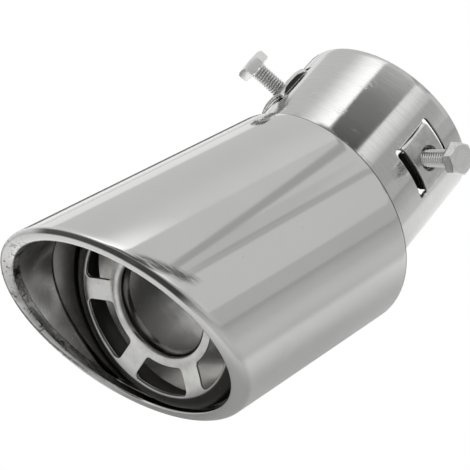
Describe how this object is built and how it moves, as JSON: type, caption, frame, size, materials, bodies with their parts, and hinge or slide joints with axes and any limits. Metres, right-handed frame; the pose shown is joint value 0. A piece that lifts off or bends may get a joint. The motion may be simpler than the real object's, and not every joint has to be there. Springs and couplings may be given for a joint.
{
  "type": "exhaust tip",
  "caption": "Slash-cut round exhaust tip with a rolled lip, a windowed inner grille and a bent inlet clamped to the tailpipe by radial screws.",
  "frame": {"origin": "centre of the inlet's rim", "axes": "+Y along the shell's axis, from the mouth to the rear end; the inlet leans up from it towards +Z; looking into the mouth, +X is to the right"},
  "size_m": [0.0879, 0.1696, 0.0919],
  "materials": {
    "polished_steel": "mirror-polished stainless steel",
    "brushed_steel": "finely brushed stainless steel",
    "inner_steel": "bare mill-finish stainless steel",
    "satin_steel": "satin stainless steel",
    "zinc_plate": "bright zinc plate",
    "weld": "rough scorched weld metal"
  },
  "bodies": {
    "tip": {"outer_shell": "polished_steel", "mouth_sleeve": "inner_steel", "inner_liner": "inner_steel", "grille": "satin_steel", "end_plate": "inner_steel", "inlet": "brushed_steel", "nut_right": "zinc_plate", "nut_left": "zinc_plate", "nut_lower": "zinc_plate", "tack_welds": "weld"},
    "screw_right": {"screw_right": "zinc_plate"},
    "screw_left": {"screw_left": "zinc_plate"},
    "screw_lower": {"screw_lower": "zinc_plate"}
  },
  "joints": [
    {"name": "screw_right_travel", "type": "slide", "parent": "tip", "child": "screw_right", "axis": [-0.9455, 0.1241, -0.301], "range_m": [-0.003, 0.01]},
    {"name": "screw_left_travel", "type": "slide", "parent": "tip", "child": "screw_left", "axis": [0.7547, 0.25, -0.6066], "range_m": [-0.003, 0.01]},
    {"name": "screw_lower_travel", "type": "slide", "parent": "tip", "child": "screw_lower", "axis": [0.1908, -0.3741, 0.9076], "range_m": [-0.003, 0.01]}
  ]
}
